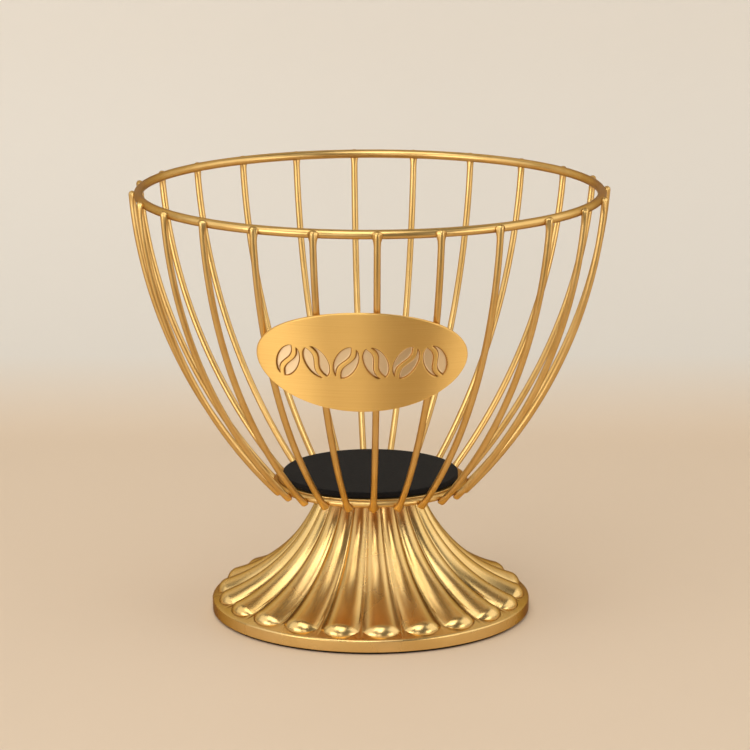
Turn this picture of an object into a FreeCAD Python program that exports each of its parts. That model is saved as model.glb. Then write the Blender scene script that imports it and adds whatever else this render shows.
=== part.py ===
"""Wire basket on a lobed trumpet foot.

The basket is a rim ring, a small floor ring and bent wire ribs welded to the outside of both.
A sheet plate and a soft mat make its floor, and an oval plaque is welded to the front ribs.
A stud under the plate, a washer and a nut hold the basket on the hollow cast pedestal.
Millimetres, +Z up, origin on the table under the centre of the foot, front towards -Y.
"""
import FreeCAD, Part
import math
import os

from FreeCAD import Vector

# Rings and ribs of the basket
RIM_RADIUS = 77.0
RIM_HEIGHT = 144.1
RIM_WIRE = 3.0
FLOOR_RING_RADIUS = 31.8
FLOOR_RING_HEIGHT = 45.0
FLOOR_RING_WIRE = 2.2
RIB_COUNT = 24
RIB_WIRE = 2.2
RIB_BEND_RADIUS = 161.0
FIRST_RIB_ANGLE = 2.9
RIB_DRIFT = 1.6
RIB_DRIFT_MOST_AT = 223.0
RIB_RISE_PAST_RIM = 0.2
RIB_RUN_PAST_FLOOR_RING = 0.3
RIM_WELD_SINK = 0.6
WELD_SINK = 0.3

# Sheet floor and its liner
PLATE_THICKNESS = 0.8
PLATE_DROP_INTO_RING = 0.5
PLATE_EDGE_INSIDE_RING_LINE = 0.7
MAT_THICKNESS = 2.0
MAT_EDGE_MARGIN = 1.5

# Oval plaque: width round the cone, height up the slope, angle from the front towards +X
PLAQUE_WIDTH = 68.8
PLAQUE_HEIGHT = 36.7
PLAQUE_THICKNESS = 1.0
PLAQUE_CENTRE_HEIGHT = 102.1
PLAQUE_ANGLE = -2.3

# Row of beans sunk into the plaque's face
BEAN_COUNT = 6
BEAN_PITCH = 9.4
BEAN_LENGTH = 12.6
BEAN_WIDTH = 7.6
BEAN_TILT = 24.0
BEAN_SEAM = 1.3
BEAN_SEAM_SWING = 1.0
BEAN_DEPTH = 0.5

# Crown line of the pedestal's lobes: the skirt's lean is from the vertical, in degrees
NECK_RADIUS = 16.0
SKIRT_LEAN = 71.0
NOSE_BEND_RADIUS = 4.1
NOSE_SETBACK_FROM_EDGE = 1.6
NOSE_FOOT_RISE = 0.6

# Lobes, flange and wall of the pedestal
LOBE_COUNT = 22
FIRST_LOBE_ANGLE = 4.4
LOBE_RISE_SHARE = 0.21
LOBE_HALF_ARC = 50.0
FLANGE_RADIUS = 53.9
FLANGE_EDGE_HEIGHT = 4.0
FLANGE_TOP_SLOPE = 19.0
FLANGE_EDGE_ROUND = 0.7
PEDESTAL_WALL = 2.0
PEDESTAL_TOP_WALL = 3.0

# Foam ring under the flange
PAD_THICKNESS = 0.8
PAD_EDGE_MARGIN = 1.2
PAD_WIDTH = 4.5

# Fixing of the basket on the pedestal
STUD_DIAMETER = 5.0
STUD_RUN_PAST_NUT = 2.8
STUD_HOLE_CLEARANCE = 0.3
NUT_ACROSS_FLATS = 8.0
NUT_HEIGHT = 4.0
NUT_THREAD_PLAY = 0.02
WASHER_DIAMETER = 15.0
WASHER_THICKNESS = 1.2

# How finely curves are sampled, and how far cutters run past what they cut
POINTS_PER_BEND = 24
WAIST_SECTIONS = 8
NOSE_SECTIONS = 5
PLACES_ACROSS_LOBE = (-1.0, -0.85, -0.55, 0.0, 0.55, 0.85, 1.0)
CUTTER_OVERRUN = 1.0

# Heights, radii and steps that follow from the ones above
UP = Vector(0, 0, 1)
AXIS_POINT = Vector(0, 0, 0)
PLATE_BOTTOM = FLOOR_RING_HEIGHT + FLOOR_RING_WIRE / 2 - PLATE_DROP_INTO_RING
PLATE_TOP = PLATE_BOTTOM + PLATE_THICKNESS
PLATE_RADIUS = FLOOR_RING_RADIUS - PLATE_EDGE_INSIDE_RING_LINE
FLANGE_TOP = PAD_THICKNESS + FLANGE_EDGE_HEIGHT
CEILING = PLATE_BOTTOM - PEDESTAL_TOP_WALL
WASHER_BOTTOM = CEILING - WASHER_THICKNESS
NUT_BOTTOM = WASHER_BOTTOM - NUT_HEIGHT
STUD_BOTTOM = NUT_BOTTOM - STUD_RUN_PAST_NUT
STUD_HOLE_RADIUS = STUD_DIAMETER / 2 + STUD_HOLE_CLEARANCE
LOBE_STEP = 360.0 / LOBE_COUNT
POINTS_PER_SECTION = round(POINTS_PER_BEND / WAIST_SECTIONS)


def front_point(radius, height, angle=0.0):
    """Point at a radius and height, at an angle in degrees from the front towards +X."""
    turn = math.radians(angle)
    return Vector(radius * math.sin(turn), -radius * math.cos(turn), height)


def turned(shape, angle):
    """Copy of a shape turned about the upright axis, from the front towards +X."""
    copy = shape.copy()
    copy.rotate(AXIS_POINT, UP, angle)
    return copy


def ring(radius, height, wire):
    """Hoop of round wire."""
    return Part.makeTorus(radius, wire / 2, Vector(0, 0, height), UP)


def disc(radius, bottom, top):
    """Round sheet or bar, upright on the axis."""
    return Part.makeCylinder(radius, top - bottom, Vector(0, 0, bottom), UP)


def rim_ring():
    return ring(RIM_RADIUS, RIM_HEIGHT, RIM_WIRE)


def floor_ring():
    return ring(FLOOR_RING_RADIUS, FLOOR_RING_HEIGHT, FLOOR_RING_WIRE)


def rib_bend_centre():
    """Centre of the ribs' bend as (radius, height), in the plane of one rib.

    The bend clears each ring's centreline by the two wires' radii less the weld's sink, so the
    centre lies at a known distance from both rings: the crossing of two circles.
    """
    to_rim = RIB_BEND_RADIUS - (RIM_WIRE + RIB_WIRE) / 2 + RIM_WELD_SINK
    to_floor = RIB_BEND_RADIUS - (FLOOR_RING_WIRE + RIB_WIRE) / 2 + WELD_SINK
    across = RIM_RADIUS - FLOOR_RING_RADIUS
    rise = RIM_HEIGHT - FLOOR_RING_HEIGHT
    span = math.hypot(across, rise)
    along = (span ** 2 + to_floor ** 2 - to_rim ** 2) / (2 * span)
    aside = math.sqrt(to_floor ** 2 - along ** 2)
    radius = FLOOR_RING_RADIUS + (along * across - aside * rise) / span
    height = FLOOR_RING_HEIGHT + (along * rise + aside * across) / span
    return radius, height


def rib_point(angle):
    """Point (radius, height) of a rib's centreline, angle in degrees below the bend's centre."""
    radius, height = rib_bend_centre()
    turn = math.radians(angle)
    return radius + RIB_BEND_RADIUS * math.cos(turn), height - RIB_BEND_RADIUS * math.sin(turn)


def rib_angle_at(height):
    """Angle in degrees of the rib's bend at a height, which is also the rib's lean there."""
    return math.degrees(math.asin((rib_bend_centre()[1] - height) / RIB_BEND_RADIUS))


def rib():
    """The front rib: a bent wire with domed ends, hollowed where it sits on the two rings."""
    centre_radius, centre_height = rib_bend_centre()
    drop = centre_height - FLOOR_RING_HEIGHT
    floor_weld = math.degrees(math.atan2(drop, FLOOR_RING_RADIUS - centre_radius))
    top = rib_angle_at(RIM_HEIGHT + RIB_RISE_PAST_RIM)
    end = floor_weld + math.degrees(RIB_RUN_PAST_FLOOR_RING / RIB_BEND_RADIUS)
    top_point = front_point(*rib_point(top))
    end_point = front_point(*rib_point(end))
    lean = math.radians(top)
    section = Part.Circle(top_point, Vector(0, math.sin(lean), -math.cos(lean)), RIB_WIRE / 2)
    face = Part.Face(Part.Wire(section.toShape()))
    wire = face.revolve(front_point(centre_radius, centre_height), Vector(1, 0, 0), end - top)
    domes = [Part.makeSphere(RIB_WIRE / 2, place) for place in (top_point, end_point)]
    return wire.fuse(domes).removeSplitter().cut([rim_ring(), floor_ring()])


def ribs():
    """All ribs by name, set round the basket by hand, so their even spacing drifts a little."""
    first = rib()
    nodes = {}
    for k in range(RIB_COUNT):
        angle = FIRST_RIB_ANGLE + k * 360.0 / RIB_COUNT
        drift = RIB_DRIFT * math.cos(math.radians(angle - RIB_DRIFT_MOST_AT))
        nodes["rib_%02d" % (k + 1)] = turned(first, angle + drift)
    return nodes


def floor_plate():
    """Sheet disc that drops a little way into the floor ring and is welded to it."""
    return disc(PLATE_RADIUS, PLATE_BOTTOM, PLATE_TOP).cut(floor_ring())


def floor_mat():
    return disc(PLATE_RADIUS - MAT_EDGE_MARGIN, PLATE_TOP, PLATE_TOP + MAT_THICKNESS)


def plaque_lean():
    """The plaque leans as the ribs do at its centre, in degrees."""
    return rib_angle_at(PLAQUE_CENTRE_HEIGHT)


def plaque_back_radius():
    """Radius of the plaque's back at its centre height, sunk a little onto the ribs' fronts."""
    reach = (RIB_WIRE / 2 - WELD_SINK) / math.cos(math.radians(plaque_lean()))
    return rib_point(plaque_lean())[0] + reach


def bean_half(side):
    """Outline of half a bean, long axis along X; side is 1 for the upper half and -1 for the lower.

    The outside is part of an ellipse and the seam side is an S of two arcs.
    """
    long_half = BEAN_LENGTH / 2
    wide_half = BEAN_WIDTH / 2
    gap = BEAN_SEAM / 2
    start = math.asin(gap / wide_half)
    tip = long_half * math.cos(start)
    oval = Part.Ellipse(AXIS_POINT, long_half, wide_half)
    outside = Part.ArcOfEllipse(oval, start, math.pi - start)
    swing = BEAN_SEAM_SWING * side
    right = Part.Arc(Vector(tip, gap, 0), Vector(tip / 2, gap + swing, 0), Vector(0, gap, 0))
    left = Part.Arc(Vector(0, gap, 0), Vector(-tip / 2, gap - swing, 0), Vector(-tip, gap, 0))
    outline = Part.Wire([edge.toShape() for edge in (outside, right, left)])
    return outline if side > 0 else outline.mirror(AXIS_POINT, Vector(0, 1, 0))


def bean_pockets():
    """Cutters for the row of beans, alternately tilted left and right."""
    lean = plaque_lean()
    face_radius = plaque_back_radius() + PLAQUE_THICKNESS / math.cos(math.radians(lean))
    cutters = []
    for k in range(BEAN_COUNT):
        offset = (k - (BEAN_COUNT - 1) / 2) * BEAN_PITCH
        tilt = BEAN_TILT if k % 2 else -BEAN_TILT
        for side in (-1, 1):
            pocket = Part.Face(bean_half(side)).extrude(UP * (BEAN_DEPTH + CUTTER_OVERRUN))
            pocket.translate(UP * -BEAN_DEPTH)
            pocket.rotate(AXIS_POINT, UP, 90 + tilt)
            pocket.rotate(AXIS_POINT, Vector(1, 0, 0), 90 + lean)
            pocket.translate(front_point(face_radius, PLAQUE_CENTRE_HEIGHT))
            cutters.append(turned(pocket, PLAQUE_ANGLE + math.degrees(offset / face_radius)))
    return cutters


def plaque_cone():
    """Strip of sheet wound round the basket's axis at the plaque's lean, wider than the plaque."""
    lean = math.radians(plaque_lean())
    half_slope = PLAQUE_HEIGHT / 2 + CUTTER_OVERRUN
    quarter_turn = 90.0
    corners = []
    for up, out in ((-1, 0), (1, 0), (1, 1), (-1, 1)):
        along = up * half_slope
        through = out * PLAQUE_THICKNESS
        radius = plaque_back_radius() + along * math.sin(lean) + through * math.cos(lean)
        height = PLAQUE_CENTRE_HEIGHT + along * math.cos(lean) - through * math.sin(lean)
        corners.append(front_point(radius, height, -quarter_turn))
    return Part.Face(Part.makePolygon(corners + corners[:1])).revolve(AXIS_POINT, UP, 2 * quarter_turn)


def plaque_blank():
    """Prism square to the plaque's middle, whose outline is the oval wound on the leaning cone.

    A point of the oval goes round the cone by the cosine of its angle and up the slope by the sine,
    and is then moved square to the middle, onto one flat plane.
    """
    lean = math.radians(plaque_lean())
    back = plaque_back_radius()
    middle = front_point(back, PLAQUE_CENTRE_HEIGHT)
    outward = Vector(0, -math.cos(lean), -math.sin(lean))
    outline = []
    for k in range(POINTS_PER_BEND):
        angle = 2 * math.pi * k / POINTS_PER_BEND
        wound = PLAQUE_WIDTH / 2 * math.cos(angle) / back
        slope = PLAQUE_HEIGHT / 2 * math.sin(angle)
        height = PLAQUE_CENTRE_HEIGHT + slope * math.cos(lean)
        place = front_point(back + slope * math.sin(lean), height, math.degrees(wound))
        outline.append(place - outward * ((place - middle).dot(outward) + back / 2))
    curve = Part.BSplineCurve()
    curve.interpolate(outline, PeriodicFlag=True)
    return Part.Face(Part.Wire(curve.toShape())).extrude(outward * back)


def plaque(rib_shapes):
    """Oval cut from a cone that leans as the ribs do, with a groove where each rib is welded."""
    sheet = turned(plaque_cone().common(plaque_blank()), PLAQUE_ANGLE)
    return sheet.cut(list(rib_shapes.values())).cut(bean_pockets())


def crown_arcs():
    """Arcs of a lobe's crown line from the neck down, each (centre, bend radius, start, end).

    Start and end are the line's lean in radians. The waist hollows outwards, centre outside the
    foot, and the nose rounds over, centre inside and bend radius negative. The waist runs smoothly
    into the nose at the skirt's lean, so its centre lies past the nose's on that slant, and it
    starts at the neck, as far from its centre as its bend radius, which gives the bend.
    """
    skirt = math.radians(SKIRT_LEAN)
    slant = (math.cos(skirt), math.sin(skirt))
    nose_centre = (FLANGE_RADIUS - NOSE_SETBACK_FROM_EDGE - NOSE_BEND_RADIUS, FLANGE_TOP + NOSE_FOOT_RISE)
    away = (NECK_RADIUS - nose_centre[0] - NOSE_BEND_RADIUS * slant[0],
            PLATE_BOTTOM - nose_centre[1] - NOSE_BEND_RADIUS * slant[1])
    bend = (away[0] ** 2 + away[1] ** 2) / (2 * (away[0] * slant[0] + away[1] * slant[1]))
    out = NOSE_BEND_RADIUS + bend
    centre = (nose_centre[0] + out * slant[0], nose_centre[1] + out * slant[1])
    neck = math.atan2(centre[1] - PLATE_BOTTOM, centre[0] - NECK_RADIUS)
    return [(centre, bend, neck, skirt), (nose_centre, -NOSE_BEND_RADIUS, skirt, 0.0)]


def crown_points(arcs, inset):
    """Points (radius, height) down the given arcs, moved into the metal by inset(radius)."""
    steps = [(arc, k / POINTS_PER_BEND) for arc in arcs for k in range(POINTS_PER_BEND)]
    points = []
    for (centre, bend, start, end), share in steps + [(arcs[-1], 1.0)]:
        lean = start + (end - start) * share
        reach = bend + inset(centre[0] - bend * math.cos(lean))
        points.append((centre[0] - reach * math.cos(lean), centre[1] - reach * math.sin(lean)))
    return points


def lobe_rise(radius):
    """Height of a lobe's crown above the creases beside it, a share of the lobe's width."""
    return LOBE_RISE_SHARE * 2 * math.pi * radius / LOBE_COUNT


def radius_at(points, height):
    """Radius of a falling line of points at a height, carried straight on past its two ends."""
    for (r0, z0), (r1, z1) in zip(points, points[1:]):
        if z1 <= height:
            break
    return r0 + (r1 - r0) * (height - z0) / (z1 - z0)


def lobe_height(place):
    """Height of a lobe's round at a place across it, 1 on its crown at 0 and 0 in the creases at 1."""
    half = math.radians(LOBE_HALF_ARC)
    return (math.sqrt(1 - (place * math.sin(half)) ** 2) - math.cos(half)) / (1 - math.cos(half))


def lobed_section(lines, height):
    """Closed outline of the lobes at a height: one smooth curve over each crown, crease to crease.

    Lines holds, for each place across a lobe, the points of the line that runs down it there.
    """
    edges = []
    for k in range(LOBE_COUNT):
        middle = FIRST_LOBE_ANGLE + k * LOBE_STEP
        places = [front_point(radius_at(lines[abs(place)], height), height, middle + place * LOBE_STEP / 2)
                  for place in PLACES_ACROSS_LOBE]
        curve = Part.BSplineCurve()
        curve.interpolate(places)
        edges.append(curve.toShape())
    return Part.Wire(edges)


def lobes():
    """Lobed trumpet from the neck down to the feet of its noses, solid, then straight down."""
    arcs = crown_arcs()
    lines = {}
    for place in PLACES_ACROSS_LOBE:
        fall = 1 - lobe_height(place)
        lines[abs(place)] = crown_points(arcs, lambda radius: fall * lobe_rise(radius))
    upper = [height for _, height in lines[0.0][:POINTS_PER_BEND + 1:POINTS_PER_SECTION]]
    nose_centre, nose_bend, nose_lean, _ = arcs[-1]
    leans = [nose_lean * (1 - k / NOSE_SECTIONS) for k in range(NOSE_SECTIONS + 1)]
    lower = [nose_centre[1] - nose_bend * math.sin(lean) for lean in leans]
    lofts = []
    for heights in (upper, lower):
        sections = [lobed_section(lines, height) for height in heights]
        lofts.append(Part.makeLoft(sections, True, False))
    root = Part.Face(sections[-1]).extrude(UP * (PAD_THICKNESS - lower[-1]))
    return lofts[0].fuse([lofts[1], root])


def flange():
    """Round base with an upright edge, a small round on it and a conical top."""
    rise = FLANGE_RADIUS * math.tan(math.radians(FLANGE_TOP_SLOPE))
    cone = Part.makeCone(FLANGE_RADIUS, 0, rise, Vector(0, 0, FLANGE_TOP))
    body = disc(FLANGE_RADIUS, PAD_THICKNESS, FLANGE_TOP).fuse(cone).removeSplitter()
    rim = [edge for edge in body.Edges if edge.BoundBox.ZLength < 1e-6
           and abs(edge.BoundBox.ZMin - FLANGE_TOP) < 1e-6]
    return body.makeFillet(FLANGE_EDGE_ROUND, rim)


def hollow():
    """Space inside the pedestal: the creases' line moved in by the wall, flat at the top."""
    inner = crown_points(crown_arcs()[:1], lambda radius: lobe_rise(radius) + PEDESTAL_WALL)
    floor = PAD_THICKNESS - CUTTER_OVERRUN
    curve = Part.BSplineCurve()
    curve.interpolate([front_point(*place) for place in inner[::POINTS_PER_SECTION]])
    top = front_point(*inner[0])
    mouth = front_point(*inner[-1])
    foot = front_point(inner[-1][0], floor)
    edges = [curve.toShape()]
    corners = (mouth, foot, Vector(0, 0, floor), Vector(0, 0, inner[0][1]), top)
    for start, end in zip(corners, corners[1:]):
        edges.append(Part.makeLine(start, end))
    space = Part.Face(Part.Wire(edges)).revolve(AXIS_POINT, UP, 360)
    return space.common(disc(FLANGE_RADIUS, floor, CEILING))


def pedestal():
    """Hollow casting: a lobed trumpet on a flange whose top rises gently towards the lobes."""
    stud_hole = disc(STUD_HOLE_RADIUS, CEILING - CUTTER_OVERRUN, PLATE_BOTTOM + CUTTER_OVERRUN)
    return lobes().fuse(flange()).cut([hollow(), stud_hole])


def foot_pad():
    """Foam ring glued under the flange."""
    outer = FLANGE_RADIUS - PAD_EDGE_MARGIN
    return disc(outer, 0, PAD_THICKNESS).cut(disc(outer - PAD_WIDTH, 0, PAD_THICKNESS))


def basket_stud():
    """Plain stud under the plate, as thick as its thread's outside."""
    return disc(STUD_DIAMETER / 2, STUD_BOTTOM, PLATE_BOTTOM)


def clamp_washer():
    bore = disc(STUD_HOLE_RADIUS, WASHER_BOTTOM, CEILING)
    return disc(WASHER_DIAMETER / 2, WASHER_BOTTOM, CEILING).cut(bore)


def hex_nut():
    """Six-sided nut under the washer."""
    corner = NUT_ACROSS_FLATS / math.sqrt(3)
    corners = [front_point(corner, NUT_BOTTOM, 60.0 * k) for k in range(7)]
    block = Part.Face(Part.makePolygon(corners)).extrude(UP * NUT_HEIGHT)
    return block.cut(disc(STUD_DIAMETER / 2 + NUT_THREAD_PLAY, NUT_BOTTOM, WASHER_BOTTOM))


def main():
    os.makedirs("parts", exist_ok=True)
    nodes = ribs()
    nodes["plaque"] = plaque(nodes)
    for make in (rim_ring, floor_ring, floor_plate, floor_mat, pedestal, foot_pad,
                 basket_stud, clamp_washer, hex_nut):
        nodes[make.__name__] = make()
    for name, shape in nodes.items():
        shape.exportStep("parts/%s.step" % name)
        print(name, shape.isValid(), len(shape.Solids), "%.1f mm3" % shape.Volume)


main()
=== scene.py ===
"""Looks of a gold wire basket on a lobed trumpet foot.

Every piece is a surface worked out on a grid in millimetres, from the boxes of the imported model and
the named sizes below, and is put into its mesh in metres. The front looks towards -Y.
"""
import math

import bpy
import numpy as np
from mathutils import Matrix, Vector


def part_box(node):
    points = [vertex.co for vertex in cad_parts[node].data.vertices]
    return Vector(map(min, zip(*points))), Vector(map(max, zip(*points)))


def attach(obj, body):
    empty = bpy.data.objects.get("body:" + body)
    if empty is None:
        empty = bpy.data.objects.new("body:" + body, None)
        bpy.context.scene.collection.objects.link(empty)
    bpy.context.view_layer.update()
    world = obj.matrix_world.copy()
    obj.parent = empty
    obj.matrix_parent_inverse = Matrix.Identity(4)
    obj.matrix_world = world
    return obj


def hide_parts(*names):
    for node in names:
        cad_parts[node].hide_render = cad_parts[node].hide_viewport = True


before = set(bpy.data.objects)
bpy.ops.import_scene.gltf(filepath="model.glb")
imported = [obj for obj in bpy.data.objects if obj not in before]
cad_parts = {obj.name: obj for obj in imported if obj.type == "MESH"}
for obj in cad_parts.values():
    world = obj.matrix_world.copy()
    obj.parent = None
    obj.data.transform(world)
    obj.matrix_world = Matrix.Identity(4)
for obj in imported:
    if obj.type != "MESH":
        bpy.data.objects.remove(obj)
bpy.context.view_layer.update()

MM = 0.001

# Ribs and their welds
RIB_COUNT = 24
RIB_WIRE = 2.2
RIB_BEND_RADIUS = 161.0
FIRST_RIB_ANGLE = 2.9
RIB_DRIFT = 1.6
RIB_DRIFT_MOST_AT = 223.0
RIB_RISE_PAST_RIM = 0.2
RIB_RUN_PAST_FLOOR_RING = 0.3
RIM_WELD_SINK = 0.6
WELD_SINK = 0.3
WELD_SPREAD = 1.0
WELD_REACH = 1.9
WELD_FACING_FROM = 0.3

# Oval plaque: width round the cone, height up the slope, angle from the front towards +X
PLAQUE_WIDTH = 68.8
PLAQUE_HEIGHT = 36.7
PLAQUE_THICKNESS = 1.0
PLAQUE_CENTRE_HEIGHT = 102.1
PLAQUE_ANGLE = -2.3
PLAQUE_EDGE_ROUND = 0.3

# Plaque's rows: the share that is even, and the share that crowds towards the middle of its height
EVEN_ROWS = 0.45
CROWDED_ROWS = 0.55

# Row of beans sunk into the plaque's face
BEAN_COUNT = 6
BEAN_PITCH = 9.4
BEAN_LENGTH = 12.6
BEAN_WIDTH = 7.6
BEAN_TILT = 24.0
BEAN_SEAM = 1.3
BEAN_SEAM_SWING = 1.0
BEAN_DEPTH = 0.5
BEAN_WALL = 0.45

# Crown line of the pedestal's lobes, the skirt's lean in degrees from the vertical
NECK_RADIUS = 16.0
SKIRT_LEAN = 71.0
NOSE_BEND_RADIUS = 4.1
NOSE_SETBACK_FROM_EDGE = 1.6
NOSE_FOOT_RISE = 0.6
NOSE_END_LEAN = -0.1

# Lobes, flange and wall of the pedestal
LOBE_COUNT = 22
FIRST_LOBE_ANGLE = 4.4
LOBE_RISE_SHARE = 0.21
LOBE_HALF_ARC = 50.0
CREASE_SOFTNESS = 0.12
FLANGE_EDGE_HEIGHT = 4.0
FLANGE_TOP_SLOPE = 19.0
FLANGE_EDGE_ROUND = 0.7
FLANGE_START_INSET = 1.0
FOOT_EDGE_ROUND = 0.3
FOOT_FACE_WIDTH = 2.0
PEDESTAL_WALL = 2.0
PEDESTAL_TOP_WALL = 3.0
STUD_HOLE_RADIUS = 2.8
STUD_HOLE_EDGE_BELOW = 0.4
STUD_HOLE_EDGE_ABOVE = 0.3
CEILING_CORNER_RISE = 0.5
CEILING_CORNER_RUN = 0.6

# Small edges and the fixing
PLATE_EDGE_ROUND = 0.2
MAT_EDGE_ROUND = 0.4
DISC_START_INSET = 3.0
PAD_WIDTH = 4.5
PAD_EDGE_ROUND = 0.2
STUD_THREAD_PITCH = 0.8
STUD_THREAD_DEPTH = 0.45
STUD_CREST = 0.15
STUD_POINT_LENGTH = 0.5
STUD_POINT_DEPTH = 0.35
NUT_CHAMFER = 30.0
NUT_FACE_SHARE = 0.97
NUT_CHAMFER_LENGTH = 0.8
NUT_FLAT_START = 1.0
NUT_BORE_RADIUS = 2.52
NUT_BORE_CHAMFER = 0.35
WASHER_ROLLED_EDGE = 0.35
WASHER_SHARP_EDGE = 0.1
WASHER_HOLE_EDGE = 0.3

# Camera that took the photograph, from the rings' ellipses, in millimetres and radians
CAMERA_SIDE = 1.55
CAMERA_DISTANCE = 1140.5
CAMERA_HEIGHT = 345.3
CAMERA_PITCH = 0.22732
CAMERA_ROLL = 0.0014
CAMERA_FOCAL_SHARE = 4.63927
SENSOR_WIDTH = 36.0

# How finely round things are divided
AROUND_RING = 360
AROUND_WIRE = 24
ALONG_RIB = 90
AROUND_DISC = 240
AROUND_WASHER = 96
AROUND_NUT = 192
ALONG_STUD = 150
ACROSS_PLAQUE = 300
UP_PLAQUE = 132
ACROSS_LOBE = 28
DOWN_LOBE = 72
ALONG_CROWN = 300
ALONG_INSIDE = 28
DOME_STEPS = 8
PLAQUE_EDGE_STEPS = 6
FLANGE_ROUND_STEPS = 9
SMALL_ROUND_STEPS = 5
NUT_CHAMFER_STEPS = 9
NUT_FLAT_STEPS = 4
CURL_STEPS = 24
SHARP_ANGLE = 40.0

# Pale sweep behind the object, in metres
FLOOR_FRONT = -0.27
FLOOR_BACK = 0.22
FLOOR_ROWS = 12
CURL_START = 0.23
CURL_RADIUS = 0.15
WALL_HEIGHT = 1.6
SWEEP_HALF_WIDTH = 1.6
WALL_TONE_HEIGHT = 0.02

# Rectangular lamps as name, place, size and power, in metres and watts, and the height they aim at
LAMPS = (("left_box", (-0.75, -0.25, 0.48), (0.9, 0.9), 2.7),
         ("right_box", (0.8, -0.1, 0.48), (0.9, 0.9), 3.1),
         ("top_box", (-0.2, -0.6, 1.2), (1.1, 0.8), 6.6),
         ("front_box", (-0.12, -0.95, 0.85), (0.45, 0.45), 1.9),
         ("low_box", (-0.25, -1.5, 0.1), (0.4, 0.6), 1.6),
         ("low_left_box", (-0.97, -1.01, 0.1), (0.85, 0.6), 6.2),
         ("low_right_box", (1.06, -0.91, 0.1), (0.6, 0.6), 3.6))
LAMP_AIM_HEIGHT = 0.07


def node_box(node):
    """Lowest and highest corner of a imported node, in millimetres."""
    low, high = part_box(node)
    return np.array(low) / MM, np.array(high) / MM


def ring_size(node):
    """Radius, height and wire of a hoop, from its box."""
    low, high = node_box(node)
    wire = high[2] - low[2]
    return (high[0] - low[0] - wire) / 2, (high[2] + low[2]) / 2, wire


RIM_RADIUS, RIM_HEIGHT, RIM_WIRE = ring_size("rim_ring")
FLOOR_RADIUS, FLOOR_HEIGHT, FLOOR_WIRE = ring_size("floor_ring")


# Meshes


def new_object(name, data):
    """Object made of its data and linked into the scene."""
    thing = bpy.data.objects.new(name, data)
    bpy.context.scene.collection.objects.link(thing)
    return thing


def new_mesh(name, points, faces):
    """Smooth mesh in metres, from points in millimetres and the corners of each face."""
    mesh = bpy.data.meshes.new(name)
    mesh.from_pydata((points * MM).tolist(), [], faces)
    mesh.update()
    mesh.shade_smooth()
    return mesh


def enclosed(points, faces):
    """Six times the volume inside triangles, positive when they face outwards."""
    a, b, c = (points[faces[:, k]] for k in range(3))
    return np.einsum("ij,ij->i", a, np.cross(b, c)).sum()


def skin(name, rows, joined=False):
    """Closed mesh over a grid of points: rows along the surface, columns right round it.

    Quads join each row to the next, and on a joined surface the last row to the first. Otherwise
    one point at the middle of each end row closes it with a fan. The sign of the volume that the
    faces enclose says whether they are turned round to look outwards.
    """
    count, around = rows.shape[:2]
    points = rows.reshape(-1, 3)
    row = np.arange(count if joined else count - 1)[:, None] * around
    column = np.arange(around)
    after = (column + 1) % around
    above = (row + around) % (count * around)
    quads = np.stack([row + column, row + after, above + after, above + column], -1).reshape(-1, 4)
    fans = np.zeros((0, 3), int)
    if not joined:
        points = np.vstack([points, rows[0].mean(0), rows[-1].mean(0)])
        last = (count - 1) * around
        first_middle = np.full(around, count * around)
        start = np.stack([after, column, first_middle], -1)
        end = np.stack([last + column, last + after, first_middle + 1], -1)
        fans = np.vstack([start, end])
    triangles = np.vstack([quads[:, :3], quads[:, [0, 2, 3]], fans])
    if enclosed(points, triangles) < 0:
        quads, fans = quads[:, ::-1], fans[:, ::-1]
    mesh = new_mesh(name, points, quads.tolist() + fans.tolist())
    mesh.set_sharp_from_angle(angle=math.radians(SHARP_ANGLE))
    return new_object(name, mesh)


def dress(piece, material, slot, *nodes):
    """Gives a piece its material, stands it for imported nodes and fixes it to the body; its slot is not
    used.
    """
    piece.data.materials.append(material)
    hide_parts(*nodes)
    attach(piece, "root")


def turned(rows, angle):
    """Points turned about the upright axis by an angle in degrees, from the front towards +X."""
    turn = math.radians(angle)
    x, y = rows[..., 0], rows[..., 1]
    return np.stack([x * math.cos(turn) - y * math.sin(turn),
                     x * math.sin(turn) + y * math.cos(turn), rows[..., 2]], -1)


def rounded(corners, steps=8):
    """Outline through corners (radius, height, round), with an arc in place of each rounded corner.

    The arc starts before the corner by the round times the tangent of half the turn, and its
    points turn about a centre that lies square to the first side.
    """
    places = np.array([corner[:2] for corner in corners], float)
    outline = [places[:1]]
    for k in range(1, len(places) - 1):
        size = corners[k][2]
        coming = places[k] - places[k - 1]
        going = places[k + 1] - places[k]
        coming, going = coming / np.hypot(*coming), going / np.hypot(*going)
        turn = math.atan2(coming[0] * going[1] - coming[1] * going[0], coming @ going)
        start = places[k] - coming * size * math.tan(abs(turn) / 2)
        side = math.copysign(size, turn) * np.array([-coming[1], coming[0]])
        angle = turn * np.linspace(0, 1, steps)[:, None]
        across = np.array([-side[1], side[0]])
        outline.append(start + side - side * np.cos(angle) - across * np.sin(angle))
    return np.round(np.vstack(outline + [places[-1:]]), 6)


def revolved(outline, around=AROUND_DISC):
    """Grid of an outline of (radius, height) carried right round the upright axis."""
    turn = np.linspace(0, 2 * np.pi, around, endpoint=False)
    radius, height = outline[:, :1], outline[:, 1:]
    return np.stack([radius * np.sin(turn), -radius * np.cos(turn), height + 0 * turn], -1)


# Basket


def hoop(radius, height, wire):
    """Round wire bent into a hoop: a circle of the wire's radius carried round the axis."""
    turn = np.linspace(0, 2 * np.pi, AROUND_WIRE, endpoint=False)
    outline = np.stack([radius + wire / 2 * np.cos(turn), height + wire / 2 * np.sin(turn)], -1)
    return revolved(outline, AROUND_RING)


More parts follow.
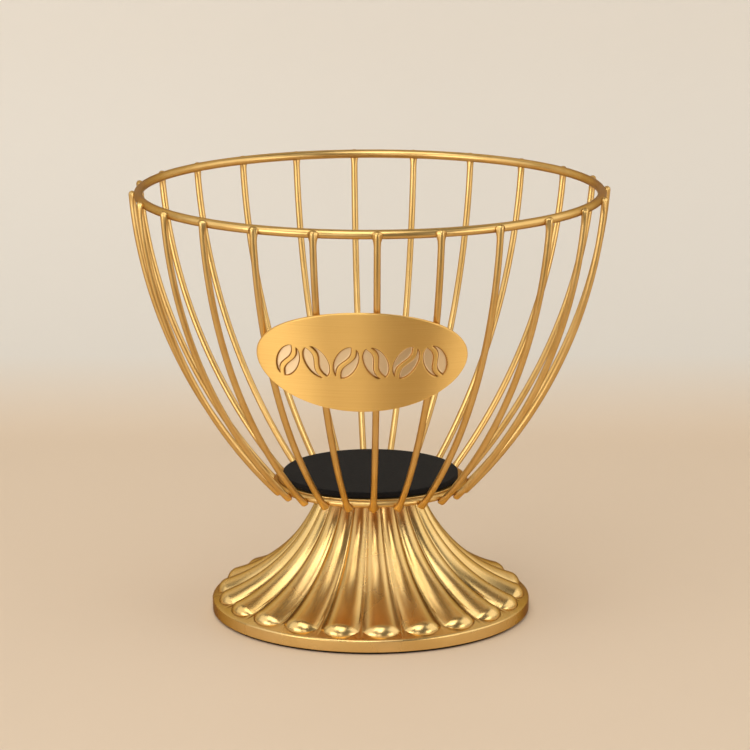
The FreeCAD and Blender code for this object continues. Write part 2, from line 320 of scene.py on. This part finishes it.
def rib_bend():
    """Centre (radius, height) of the ribs' bend, and its angles at the top end and the low end.

    The bend clears both rings' centrelines by the two wires' radii less the weld's sink, so its
    centre is the crossing of two circles round the rings.
    """
    to_rim = RIB_BEND_RADIUS - (RIM_WIRE + RIB_WIRE) / 2 + RIM_WELD_SINK
    to_floor = RIB_BEND_RADIUS - (FLOOR_WIRE + RIB_WIRE) / 2 + WELD_SINK
    across, rise = RIM_RADIUS - FLOOR_RADIUS, RIM_HEIGHT - FLOOR_HEIGHT
    span = math.hypot(across, rise)
    along = (span ** 2 + to_floor ** 2 - to_rim ** 2) / (2 * span)
    aside = math.sqrt(to_floor ** 2 - along ** 2)
    radius = FLOOR_RADIUS + (along * across - aside * rise) / span
    height = FLOOR_HEIGHT + (along * rise + aside * across) / span
    top = math.asin((height - RIM_HEIGHT - RIB_RISE_PAST_RIM) / RIB_BEND_RADIUS)
    low = math.atan2(height - FLOOR_HEIGHT, FLOOR_RADIUS - radius)
    return radius, height, top, low + RIB_RUN_PAST_FLOOR_RING / RIB_BEND_RADIUS


def rib_rows():
    """The front rib: a circle carried along the bend, with domed ends and spread welds.

    Past each end the circle's radius falls as a sine while its middle moves on by the cosine. At
    each ring the half of the circle that faces it spreads sideways, by a bell curve of the
    distance along the wire, as the metal does that is pressed out of a resistance weld.
    """
    radius, height, top, low = rib_bend()
    half = RIB_WIRE / 2
    dome = np.linspace(0, np.pi / 2, DOME_STEPS)[1:]
    length = (low - top) * RIB_BEND_RADIUS
    along = np.linspace(0, length, ALONG_RIB)[1:-1]
    place = np.concatenate([-half * np.cos(dome), along, length + half * np.cos(dome[::-1])])
    thick = half * np.concatenate([np.sin(dome), np.ones(along.size), np.sin(dome[::-1])])
    bend = (top + place / RIB_BEND_RADIUS)[:, None]
    turn = np.linspace(0, 2 * np.pi, AROUND_WIRE, endpoint=False)
    outward, aside = np.cos(turn) * thick[:, None], np.sin(turn) * thick[:, None]
    to_rim = place - RIB_RISE_PAST_RIM
    to_floor = place - length + RIB_RUN_PAST_FLOOR_RING
    spread = np.exp(-(to_rim / WELD_REACH) ** 2) + np.exp(-(to_floor / WELD_REACH) ** 2)
    facing = np.clip((WELD_FACING_FROM - np.cos(turn)) / (1 + WELD_FACING_FROM), 0, 1) ** 0.5
    aside = aside + WELD_SPREAD * spread[:, None] * facing * np.sin(turn) * thick[:, None]
    reach = RIB_BEND_RADIUS + outward
    return np.stack([aside, -(radius + reach * np.cos(bend)), height - reach * np.sin(bend)], -1)


def make_ribs(material):
    """All ribs, set round the basket by hand: their even angles drift by a cosine of the angle."""
    rows = rib_rows()
    for k in range(RIB_COUNT):
        node = "rib_%02d" % (k + 1)
        angle = FIRST_RIB_ANGLE + k * 360.0 / RIB_COUNT
        drift = RIB_DRIFT * math.cos(math.radians(angle - RIB_DRIFT_MOST_AT))
        dress(skin("wire_" + node, turned(rows, angle + drift)), material, "gold_wire", node)


def make_rings(material):
    """The thick hoop at the mouth and the thin one at the floor."""
    for name, size in (("rim_ring", (RIM_RADIUS, RIM_HEIGHT, RIM_WIRE)),
                       ("floor_ring", (FLOOR_RADIUS, FLOOR_HEIGHT, FLOOR_WIRE))):
        dress(skin("wire_" + name, hoop(*size), joined=True), material, "gold_wire", name)


def disc_rows(node, edge_round):
    """Round sheet on the axis with rounded edges, from its box."""
    low, high = node_box(node)
    radius = high[0]
    start = radius - DISC_START_INSET
    corners = [(start, low[2], 0), (radius, low[2], edge_round),
               (radius, high[2], edge_round), (start, high[2], 0)]
    return revolved(rounded(corners))


def make_floor_of_basket(sheet, liner):
    """Round plate in the floor ring, and the soft liner that lies on it."""
    plate = skin("plate_disc", disc_rows("floor_plate", PLATE_EDGE_ROUND))
    dress(plate, sheet, "gold_sheet", "floor_plate")
    mat = skin("liner_disc", disc_rows("floor_mat", MAT_EDGE_ROUND))
    dress(mat, liner, "black_liner", "floor_mat")


# Plaque


def plaque_place(arc, slope, depth):
    """Points of the plaque: arc round the cone from its middle, slope up it, depth behind its face.

    The cone leans as the ribs do at the plaque's centre, and its back touches them there.
    """
    radius, height, _, _ = rib_bend()
    lean = math.asin((height - PLAQUE_CENTRE_HEIGHT) / RIB_BEND_RADIUS)
    reach = (RIB_WIRE / 2 - WELD_SINK) / math.cos(lean)
    back = radius + RIB_BEND_RADIUS * math.cos(lean) + reach
    out = PLAQUE_THICKNESS - depth
    far = back + slope * math.sin(lean) + out * math.cos(lean)
    up = PLAQUE_CENTRE_HEIGHT + slope * math.cos(lean) - out * math.sin(lean)
    wound = math.radians(PLAQUE_ANGLE) + arc / back
    return np.stack([far * np.sin(wound), -far * np.cos(wound), up], -1)


def bean_depth(arc, slope):
    """How far the face is sunk for the row of beans: a share from 0 to 1 at each place.

    A bean is an ellipse split by an S seam. Inside, the distance to the nearest of its edges over
    the wall's width, smoothed, is the share.
    """
    sunk = np.zeros_like(arc)
    for k in range(BEAN_COUNT):
        tilt = math.radians(BEAN_TILT if k % 2 else -BEAN_TILT)
        x = arc - (k - (BEAN_COUNT - 1) / 2) * BEAN_PITCH
        along = slope * math.cos(tilt) - x * math.sin(tilt)
        across = x * math.cos(tilt) + slope * math.sin(tilt)
        share = np.hypot(along / (BEAN_LENGTH / 2), across / (BEAN_WIDTH / 2))
        steep = np.hypot(along / (BEAN_LENGTH / 2) ** 2, across / (BEAN_WIDTH / 2) ** 2)
        to_edge = (1 - share) * share / np.maximum(steep, 1e-6)
        swing = BEAN_SEAM_SWING * np.sin(2 * np.pi * along / BEAN_LENGTH)
        to_seam = np.abs(across - swing) - BEAN_SEAM / 2
        inside = np.clip(np.minimum(to_edge, to_seam) / BEAN_WALL, 0, 1)
        sunk = np.maximum(sunk, inside * inside * (3 - 2 * inside))
    return sunk


def plaque_grid(across, up):
    """Places (arc, slope) of an oval: a square grid drawn onto a disc and stretched.

    Each coordinate of the square is shortened by the root of one less half the other's square.
    The square's own lines crowd towards the middle of its height, where the beans are.
    """
    u = np.linspace(-1, 1, across)[None, :]
    t = np.linspace(-1, 1, up)[:, None]
    v = t * (EVEN_ROWS + CROWDED_ROWS * t * t)
    arc = PLAQUE_WIDTH / 2 * u * np.sqrt(1 - v * v / 2)
    slope = PLAQUE_HEIGHT / 2 * v * np.sqrt(1 - u * u / 2)
    return arc, slope


def make_plaque(material):
    """Bent oval sheet: a face with sunk beans, a rounded edge and a plain back.

    The edge is rows that follow the face's border, drawn in by one less the sine and sunk by one
    less the cosine of the round's angle, at the front and again at the back.
    """
    across, up = ACROSS_PLAQUE, UP_PLAQUE
    arc, slope = plaque_grid(across, up)
    inset = PLAQUE_EDGE_ROUND
    shrink = 1 - inset / (PLAQUE_HEIGHT / 2)
    sunk = bean_depth(arc * shrink, slope * shrink)
    front = plaque_place(arc * shrink, slope * shrink, BEAN_DEPTH * sunk)
    back = plaque_place(arc * shrink, slope * shrink, np.full_like(arc, PLAQUE_THICKNESS))
    number = np.arange(across * up).reshape(up, across)
    border = np.concatenate([number[0, :-1], number[:-1, -1], number[-1, :0:-1], number[:0:-1, 0]])
    rim_arc, rim_slope = arc.ravel()[border], slope.ravel()[border]
    turn = np.linspace(0, np.pi / 2, PLAQUE_EDGE_STEPS)[1:, None]
    draw = inset * (1 - np.sin(turn)) / (PLAQUE_HEIGHT / 2)
    depth = inset * (1 - np.cos(turn)) + 0 * rim_arc
    front_edge = plaque_place(rim_arc * (1 - draw), rim_slope * (1 - draw), depth)
    back_edge = plaque_place(rim_arc * (1 - draw), rim_slope * (1 - draw), PLAQUE_THICKNESS - depth)[::-1]
    edge = np.concatenate([front_edge, back_edge])
    total = across * up
    loops = [border] + [2 * total + k * border.size + np.arange(border.size) for k in range(len(edge))]
    loops.append(total + border)
    low, high = np.array(loops[:-1]), np.array(loops[1:])
    side = np.stack([low, np.roll(low, -1, 1), np.roll(high, -1, 1), high], -1).reshape(-1, 4)
    corner = number[:-1, :-1].ravel()
    cells = np.stack([corner, corner + 1, corner + across + 1, corner + across], -1)
    faces = np.vstack([cells, cells[:, ::-1] + total, side[:, ::-1]])
    points = np.vstack([front.reshape(-1, 3), back.reshape(-1, 3), edge.reshape(-1, 3)])
    if enclosed(points, np.vstack([faces[:, :3], faces[:, [0, 2, 3]]])) < 0:
        faces = faces[:, ::-1]
    mesh = new_mesh("bean_plaque", points, faces.tolist())
    sink = mesh.attributes.new("sunk", "FLOAT", "POINT")
    share = np.zeros(len(points), np.float32)
    share[:total] = sunk.ravel()
    sink.data.foreach_set("value", share)
    dress(new_object("bean_plaque", mesh), material, "brushed_plaque", "plaque")


# Pedestal


def crown_line(per_bend):
    """Crown of a lobe from neck to nose: rows of centre radius, centre height, bend and lean.

    The waist hollows outwards and the nose rounds over, with a negative bend. The waist runs
    smoothly into the nose at the skirt's lean, so its centre lies past the nose's on that slant,
    and it starts at the neck, as far from its centre as its bend, which gives the bend.
    """
    low, high = node_box("pedestal")
    skirt = math.radians(SKIRT_LEAN)
    slant = np.array([math.cos(skirt), math.sin(skirt)])
    neck = np.array([NECK_RADIUS, high[2]])
    nose = np.array([high[0] - NOSE_SETBACK_FROM_EDGE - NOSE_BEND_RADIUS,
                     low[2] + FLANGE_EDGE_HEIGHT + NOSE_FOOT_RISE])
    away = neck - nose - NOSE_BEND_RADIUS * slant
    bend = away @ away / (2 * (away @ slant))
    waist = nose + (NOSE_BEND_RADIUS + bend) * slant
    start = math.atan2(*(waist - neck)[::-1])
    pieces = []
    bends = ((waist, bend, start, skirt), (nose, -NOSE_BEND_RADIUS, skirt, NOSE_END_LEAN))
    for centre, radius, begin, end in bends:
        lean = np.linspace(begin, end, per_bend, endpoint=False)
        pieces.append(np.stack([lean * 0 + centre[0], lean * 0 + centre[1], lean * 0 + radius, lean]))
    return np.concatenate(pieces, 1)


def lobe_height(x):
    """Height of a lobe's round across its width, 1 on the crown and 0 in the crease.

    The distance from the crease is softened near it, so that the crease is a narrow hollow and
    not a knife cut, and the round is a circle's arc scaled to the lobe.
    """
    near = 1 - np.abs(x)
    soft = CREASE_SOFTNESS
    near = (np.sqrt(near ** 2 + soft ** 2) - soft) / (math.sqrt(1 + soft ** 2) - soft)
    half = math.radians(LOBE_HALF_ARC)
    return (np.sqrt(1 - ((1 - near) * math.sin(half)) ** 2) - math.cos(half)) / (1 - math.cos(half))


def lobe_surface(crown, rise):
    """Radius and height of the lobes: the crown line moved into the metal where a lobe falls off."""
    centre_radius, centre_height, bend, lean = (value[:, None] for value in crown)
    full = LOBE_RISE_SHARE * 2 * np.pi * (centre_radius - bend * np.cos(lean)) / LOBE_COUNT
    reach = bend + full * (1 - rise)
    return centre_radius - reach * np.cos(lean), centre_height - reach * np.sin(lean)


def make_pedestal(material):
    """Hollow casting in one skin: top face, lobes, flange, rim, underside and the space inside.

    Every column runs down its place across a lobe until it meets the flange's cone, found where
    the height above the cone changes sign, and its rows are spread evenly over that run. The
    rows inside follow the crown line moved in by the creases' depth and the wall.
    """
    low, high = node_box("pedestal")
    flange_radius, top = high[0], high[2]
    flange_top = low[2] + FLANGE_EDGE_HEIGHT
    slope = math.tan(math.radians(FLANGE_TOP_SLOPE))
    w = np.arange(ACROSS_LOBE) / ACROSS_LOBE * 2 - 1
    x = 0.5 * (w + np.sin(np.pi / 2 * w))
    turn = np.radians(FIRST_LOBE_ANGLE + (np.arange(LOBE_COUNT)[:, None] + x / 2) * 360 / LOBE_COUNT)
    turn = turn.ravel()
    rise = np.tile(lobe_height(x), LOBE_COUNT)
    crown = crown_line(ALONG_CROWN)
    radius, height = lobe_surface(crown, rise[:ACROSS_LOBE])
    above = height - (flange_top + (flange_radius - radius) * slope)
    landed = np.argmax(above < 0, 0)
    column = np.arange(ACROSS_LOBE)
    before, past = above[landed - 1, column], above[landed, column]
    stop = landed - 1 + before / (before - past)
    share = np.linspace(0, 1, DOWN_LOBE)
    steps = share[:, None] * stop
    whole = np.minimum(steps.astype(int), crown.shape[1] - 2)
    part = steps - whole
    radius = radius[whole, column] * (1 - part) + radius[whole + 1, column] * part
    height = height[whole, column] * (1 - part) + height[whole + 1, column] * part
    radius, height = np.tile(radius, LOBE_COUNT), np.tile(height, LOBE_COUNT)
    height = np.minimum(height, top)

    start = (flange_radius - FLANGE_START_INSET, flange_top + FLANGE_START_INSET * slope, 0)
    edge = rounded([start, (flange_radius, flange_top, FLANGE_EDGE_ROUND),
                    (flange_radius, low[2], FOOT_EDGE_ROUND),
                    (flange_radius - FOOT_FACE_WIDTH, low[2], 0)], FLANGE_ROUND_STEPS)
    inner = crown_line(ALONG_INSIDE)[:, :ALONG_INSIDE]
    lean, bend = inner[3], inner[2]
    full = LOBE_RISE_SHARE * 2 * np.pi * (inner[0] - bend * np.cos(lean)) / LOBE_COUNT
    reach = bend + full + PEDESTAL_WALL
    inside = np.stack([inner[0] - reach * np.cos(lean), inner[1] - reach * np.sin(lean)], -1)[::-1]
    ceiling = top - PEDESTAL_TOP_WALL
    inside = inside[inside[:, 1] < ceiling - CEILING_CORNER_RISE]
    mouth = [(inside[0, 0], low[2])]
    ending = [(inside[-1, 0] - CEILING_CORNER_RUN, ceiling),
              (STUD_HOLE_RADIUS + STUD_HOLE_EDGE_BELOW, ceiling),
              (STUD_HOLE_RADIUS, ceiling + STUD_HOLE_EDGE_BELOW),
              (STUD_HOLE_RADIUS, top - STUD_HOLE_EDGE_ABOVE),
              (STUD_HOLE_RADIUS + STUD_HOLE_EDGE_ABOVE, top)]
    profile = np.vstack([edge, mouth, inside, ending])
    flat = profile[:, None, :] + 0 * turn[None, :, None]
    rows = np.concatenate([np.stack([radius, height], -1), flat])
    r, z = rows[..., 0], rows[..., 1]
    grid = np.stack([r * np.sin(turn), -r * np.cos(turn), z], -1)
    dress(skin("lobed_pedestal", grid, joined=True), material, "gold_casting", "pedestal")


def make_pad(material):
    """Foam ring: a rounded oblong carried round the axis."""
    low, high = node_box("foot_pad")
    outer, inner = high[0], high[0] - PAD_WIDTH
    middle = (outer + inner) / 2
    corners = [(middle, low[2], 0), (outer, low[2], PAD_EDGE_ROUND), (outer, high[2], PAD_EDGE_ROUND),
               (inner, high[2], PAD_EDGE_ROUND), (inner, low[2], PAD_EDGE_ROUND), (middle, low[2], 0)]
    grid = revolved(rounded(corners, SMALL_ROUND_STEPS)[:-1], AROUND_RING)
    dress(skin("pad_ring", grid, joined=True), material, "foam_pad", "foot_pad")


# Fixing


def make_stud(material):
    """Threaded stud: its radius falls into a V groove that climbs one pitch in each turn.

    The groove's depth is how far the height, less its share of the turn, is from a whole pitch.
    """
    low, high = node_box("basket_stud")
    radius = high[0]
    height = np.linspace(low[2], high[2], ALONG_STUD)[:, None]
    turn = np.linspace(0, 2 * np.pi, AROUND_WIRE, endpoint=False)
    phase = height / STUD_THREAD_PITCH - turn / (2 * np.pi)
    groove = np.abs(phase - np.round(phase)) * 2
    point = np.clip((height - low[2]) / STUD_POINT_LENGTH, 0, 1)
    cut = np.clip(groove * (1 + STUD_CREST) - STUD_CREST, 0, 1)
    r = radius - STUD_THREAD_DEPTH * cut - STUD_POINT_DEPTH * (1 - point)
    rows = np.stack([r * np.sin(turn), -r * np.cos(turn), height + 0 * turn], -1)
    dress(skin("threaded_stud", rows), material, "zinc_steel", "basket_stud")


def make_nut(material):
    """Six-sided nut whose corners are cut by a cone at both ends.

    Its reach at a turn is the half width over the cosine of the turn from the nearest flat's
    middle, and no more than a cone allows whose radius grows away from each end face.
    """
    low, high = node_box("hex_nut")
    half_flat = (high[0] - low[0]) / 2
    corner = half_flat / math.cos(math.pi / 6)
    tall = high[2] - low[2]
    turn = np.linspace(0, 2 * np.pi, AROUND_NUT, endpoint=False)
    from_flat = (turn - np.pi / 2 + np.pi / 6) % (np.pi / 3) - np.pi / 6
    reach = half_flat / np.cos(from_flat)
    depth = np.concatenate([np.linspace(0, NUT_CHAMFER_LENGTH, NUT_CHAMFER_STEPS),
                            np.linspace(NUT_FLAT_START, tall - NUT_FLAT_START, NUT_FLAT_STEPS),
                            tall - np.linspace(NUT_CHAMFER_LENGTH, 0, NUT_CHAMFER_STEPS)])
    growth = np.minimum(depth, tall - depth) / math.tan(math.radians(NUT_CHAMFER))
    allowed = half_flat * NUT_FACE_SHARE + growth
    outside = np.minimum(reach[None, :], np.minimum(allowed, corner)[:, None])
    bore, chamfer = NUT_BORE_RADIUS, NUT_BORE_CHAMFER
    inside = np.array([[bore + chamfer, high[2]], [bore, high[2] - chamfer],
                       [bore, low[2] + chamfer], [bore + chamfer, low[2]]])
    r = np.concatenate([outside, inside[:, :1] + 0 * turn])
    z = np.concatenate([(low[2] + depth)[:, None] + 0 * turn, inside[:, 1:] + 0 * turn])
    rows = np.stack([r * np.sin(turn), -r * np.cos(turn), z], -1)
    dress(skin("chamfered_nut", rows, joined=True), material, "zinc_steel", "hex_nut")


def make_washer(material):
    """Flat washer: an oblong with one softly rounded side, as punching leaves it."""
    low, high = node_box("clamp_washer")
    outer = high[0]
    middle = (outer + STUD_HOLE_RADIUS) / 2
    corners = [(middle, low[2], 0), (outer, low[2], WASHER_ROLLED_EDGE),
               (outer, high[2], WASHER_SHARP_EDGE), (STUD_HOLE_RADIUS, high[2], WASHER_SHARP_EDGE),
               (STUD_HOLE_RADIUS, low[2], WASHER_HOLE_EDGE), (middle, low[2], 0)]
    grid = revolved(rounded(corners, SMALL_ROUND_STEPS)[:-1], AROUND_WASHER)
    dress(skin("punched_washer", grid, joined=True), material, "zinc_steel", "clamp_washer")


# Materials


def linear(code):
    """Linear colour with alpha from an sRGB hex code."""
    values = [int(code[k:k + 2], 16) / 255 for k in (1, 3, 5)]
    return [v / 12.92 if v <= 0.04045 else ((v + 0.055) / 1.055) ** 2.4 for v in values] + [1.0]


def add(tree, kind, links=(), **settings):
    """Adds a shader node, sets its properties and sockets, and links sockets to other outputs."""
    node = tree.nodes.new(kind)
    for name, value in settings.items():
        if hasattr(node, name):
            setattr(node, name, value)
        else:
            node.inputs[name.replace("_", " ")].default_value = value
    for socket, source in links:
        tree.links.new(source, node.inputs[socket])
    return node


def start_material(name):
    """New material with its principled shader."""
    material = bpy.data.materials.new(name)
    material.use_nodes = True
    return material, material.node_tree, material.node_tree.nodes["Principled BSDF"]


def ramp(tree, source, stops):
    """Colour ramp from (position, hex code) stops."""
    node = add(tree, "ShaderNodeValToRGB", [("Fac", source)])
    band = node.color_ramp
    while len(band.elements) < len(stops):
        band.elements.new(0.5)
    for element, (position, code) in zip(band.elements, stops):
        element.position = position
        element.color = linear(code)
    return node


def noise(tree, size, detail):
    """Noise over the object, with grains about a size in millimetres across."""
    place = add(tree, "ShaderNodeTexCoord")
    grains = add(tree, "ShaderNodeTexNoise", [("Vector", place.outputs["Object"])],
                 Scale=1 / (size * MM), Detail=detail)
    return grains.outputs["Fac"]


def tone(tree, source, low, high):
    """Colour that runs between two hex codes over the middle of a noise's range."""
    return ramp(tree, source, [(0.3, low), (0.7, high)]).outputs["Color"]


def satin(tree, shader, source, low, high):
    """Roughness that runs between two values with a noise."""
    spread = add(tree, "ShaderNodeMapRange", [("Value", source)], To_Min=low, To_Max=high)
    tree.links.new(spread.outputs["Result"], shader.inputs["Roughness"])


def relief(tree, shader, source, strength, deep):
    """Fine relief from a noise, with its depth in millimetres."""
    bump = add(tree, "ShaderNodeBump", [("Height", source)], Strength=strength, Distance=deep * MM)
    tree.links.new(bump.outputs["Normal"], shader.inputs["Normal"])


def hold(shader, **values):
    """Constant values, set on the shader's own sockets."""
    for name, value in values.items():
        shader.inputs[name.replace("_", " ")].default_value = value


def gold_plating(name, cloud, colours, roughness, coat, grit):
    """Gold plating under a thin clear lacquer, tinted dark where it turns away from the eye.

    The clouds have a size and a detail, the lacquer a weight and a roughness, and the grit a size,
    a detail, a strength and a depth, with sizes and depth in millimetres.
    """
    material, tree, shader = start_material(name)
    clouds = noise(tree, *cloud)
    tree.links.new(tone(tree, clouds, *colours), shader.inputs["Base Color"])
    satin(tree, shader, clouds, *roughness)
    hold(shader, Metallic=1.0, Specular_Tint=linear("#80602F"), Coat_Weight=coat[0], Coat_Roughness=coat[1])
    relief(tree, shader, noise(tree, *grit[:2]), *grit[2:])
    return material


def plated_wire():
    """Champagne gold plating on drawn wire: a smooth satin, faintly cloudy.

    The edge tint darkens the wire's sides, as the lacquer does.
    """
    return gold_plating("champagne_gold_plating", (9, 3.0), ("#D8AE66", "#E2BB76"), (0.3, 0.36),
                        (0.18, 0.25), (0.5, 2.0, 0.05, 0.02))


def plated_casting():
    """Gold plating on a die casting: a soft satin with the casting's fine grain.

    The edge tint draws the thin dark lines along the lobes' creases.
    """
    return gold_plating("gold_plated_die_casting", (14, 4.0), ("#DAB46E", "#E6C280"), (0.24, 0.3),
                        (0.12, 0.28), (0.7, 3.0, 0.3, 0.03))


def brushed_sheet():
    """Gold-plated sheet brushed level: long fine hairlines that stretch the shine up and down.

    The beans' floors are paler, and their walls are darkened with painted shade for the shadow inside the
    sunk pockets.
    """
    material, tree, shader = start_material("level_brushed_gold_sheet")
    place = add(tree, "ShaderNodeTexCoord")
    stretch = add(tree, "ShaderNodeMapping", [("Vector", place.outputs["Object"])])
    stretch.inputs["Scale"].default_value = (1 / (40 * MM), 1 / (40 * MM), 1 / (0.16 * MM))
    hair = add(tree, "ShaderNodeTexNoise", [("Vector", stretch.outputs["Vector"])], Scale=1.0, Detail=3.0)
    hairs = hair.outputs["Fac"]
    sunk = add(tree, "ShaderNodeAttribute", attribute_name="sunk").outputs["Fac"]
    pale = add(tree, "ShaderNodeMix", [("Factor", sunk)], data_type="RGBA")
    tree.links.new(tone(tree, hairs, "#F2C36E", "#F9CE7C"), pale.inputs["A"])
    pale.inputs["B"].default_value = linear("#F6D9AC")
    # Painted shade: the sunk beans' sloping walls are multiplied by a dark brown, standing in for the
    # shadow in the pockets.
    wall = ramp(tree, sunk, [(0.0, "#FFFFFF"), (0.2, "#A8814F"), (0.7, "#A8814F"), (1.0, "#FFFFFF")])
    shaded = add(tree, "ShaderNodeMix", [("A", pale.outputs["Result"]), ("B", wall.outputs["Color"])],
                 data_type="RGBA", blend_type="MULTIPLY", Factor=1.0)
    tree.links.new(shaded.outputs["Result"], shader.inputs["Base Color"])
    satin(tree, shader, hairs, 0.46, 0.54)
    hold(shader, Metallic=1.0, Anisotropic=0.9)
    upwards = add(tree, "ShaderNodeCombineXYZ", Z=1.0)
    tree.links.new(upwards.outputs["Vector"], shader.inputs["Tangent"])
    relief(tree, shader, hairs, 0.25, 0.03)
    return material


def foam(name, low, high, cell, strength):
    """Closed-cell foam: dead matt, near black, with a fine pebbled skin."""
    material, tree, shader = start_material(name)
    pores = noise(tree, cell, 3.0)
    tree.links.new(tone(tree, pores, low, high), shader.inputs["Base Color"])
    hold(shader, Roughness=0.85, Specular_IOR_Level=0.2)
    relief(tree, shader, pores, strength, 0.2)
    return material


def zinc_steel():
    """Zinc-plated steel hardware: bluish grey, half bright, with slightly uneven plating."""
    material, tree, shader = start_material("zinc_plated_steel")
    clouds = noise(tree, 2, 3.0)
    tree.links.new(tone(tree, clouds, "#AEB2B6", "#C9CBCC"), shader.inputs["Base Color"])
    satin(tree, shader, clouds, 0.26, 0.4)
    hold(shader, Metallic=1.0)
    return material


# Stage, lights and camera


def make_stage():
    """Pale floor that curves up into a paler wall close behind the object.

    From behind or below it is clear, so the object can be looked at from there as well.
    The sweep's side view is the floor, a quarter circle and the wall, carried straight across.
    """
    curl = np.linspace(0, np.pi / 2, CURL_STEPS)
    floor_run = np.linspace(FLOOR_FRONT, FLOOR_BACK, FLOOR_ROWS)
    depth = np.concatenate([floor_run, CURL_START + CURL_RADIUS * np.sin(curl), [CURL_START + CURL_RADIUS]])
    rise = np.concatenate([np.zeros(FLOOR_ROWS), CURL_RADIUS * (1 - np.cos(curl)), [WALL_HEIGHT]])
    side = np.array([-SWEEP_HALF_WIDTH, SWEEP_HALF_WIDTH])
    points = np.stack([side[None, :] + 0 * depth[:, None], depth[:, None] + 0 * side,
                       rise[:, None] + 0 * side], -1).reshape(-1, 3)
    k = np.arange(depth.size - 1) * 2
    faces = np.stack([k, k + 1, k + 3, k + 2], -1)
    mesh = bpy.data.meshes.new("pale_sweep")
    mesh.from_pydata(points.tolist(), [], faces.tolist())
    mesh.shade_smooth()
    floor = new_object("pale_sweep", mesh)
    material, tree, shader = start_material("pale_matt_paint")
    place = add(tree, "ShaderNodeTexCoord")
    axes = add(tree, "ShaderNodeSeparateXYZ", [("Vector", place.outputs["Object"])])
    up = add(tree, "ShaderNodeMapRange", [("Value", axes.outputs["Z"])],
             From_Min=0.0, From_Max=WALL_TONE_HEIGHT)
    paint = ramp(tree, up.outputs["Result"], [(0.0, "#DFC9AE"), (1.0, "#DAD3C7")])
    tree.links.new(paint.outputs["Color"], shader.inputs["Base Color"])
    shader.inputs["Roughness"].default_value = 0.7
    facing = add(tree, "ShaderNodeNewGeometry")
    clear = add(tree, "ShaderNodeBsdfTransparent")
    seen = add(tree, "ShaderNodeMixShader", [(0, facing.outputs["Backfacing"]), (1, shader.outputs["BSDF"]),
                                             (2, clear.outputs["BSDF"])])
    tree.links.new(seen.outputs["Shader"], tree.nodes["Material Output"].inputs["Surface"])
    mesh.materials.append(material)


def make_world():
    """Dim warm grey room light, so that the soft boxes shape the metal."""
    world = bpy.data.worlds.new("soft_room")
    bpy.context.scene.world = world
    world.use_nodes = True
    room = world.node_tree.nodes["Background"]
    room.inputs["Color"].default_value = linear("#C8C0B6")
    room.inputs["Strength"].default_value = 0.2


def soft_box(name, place, size, power):
    """White rectangular lamp, aimed at a point on the object's axis."""
    lamp = bpy.data.lights.new(name, "AREA")
    lamp.shape = "RECTANGLE"
    lamp.size, lamp.size_y = size
    lamp.energy = power
    holder = new_object(name, lamp)
    holder.location = place
    aim = Vector((0, 0, LAMP_AIM_HEIGHT)) - Vector(place)
    holder.rotation_euler = aim.to_track_quat("-Z", "Y").to_euler()


def make_camera():
    """Camera that stands and leans as the one that took the photograph."""
    camera = bpy.data.cameras.new("front_camera")
    camera.sensor_width = SENSOR_WIDTH
    camera.lens = CAMERA_FOCAL_SHARE * SENSOR_WIDTH
    holder = new_object("front_camera", camera)
    stand = Matrix.Translation(Vector((CAMERA_SIDE, -CAMERA_DISTANCE, CAMERA_HEIGHT)) * MM)
    tilt = Matrix.Rotation(math.pi / 2 - CAMERA_PITCH, 4, "X")
    holder.matrix_world = stand @ tilt @ Matrix.Rotation(-CAMERA_ROLL, 4, "Z")
    bpy.context.scene.camera = holder


def main():
    """Dresses every piece, sets the stage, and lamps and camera."""
    wire, casting, zinc = plated_wire(), plated_casting(), zinc_steel()
    make_rings(wire)
    make_ribs(wire)
    make_floor_of_basket(wire, foam("black_foam_liner", "#0B0908", "#15120F", 0.9, 0.35))
    make_plaque(brushed_sheet())
    make_pedestal(casting)
    make_pad(foam("dark_foam_pad", "#17120E", "#241C16", 0.6, 0.25))
    make_stud(zinc)
    make_washer(zinc)
    make_nut(zinc)
    make_stage()
    make_world()
    for lamp in LAMPS:
        soft_box(*lamp)
    make_camera()
    bpy.context.scene.view_settings.view_transform = "Standard"


main()
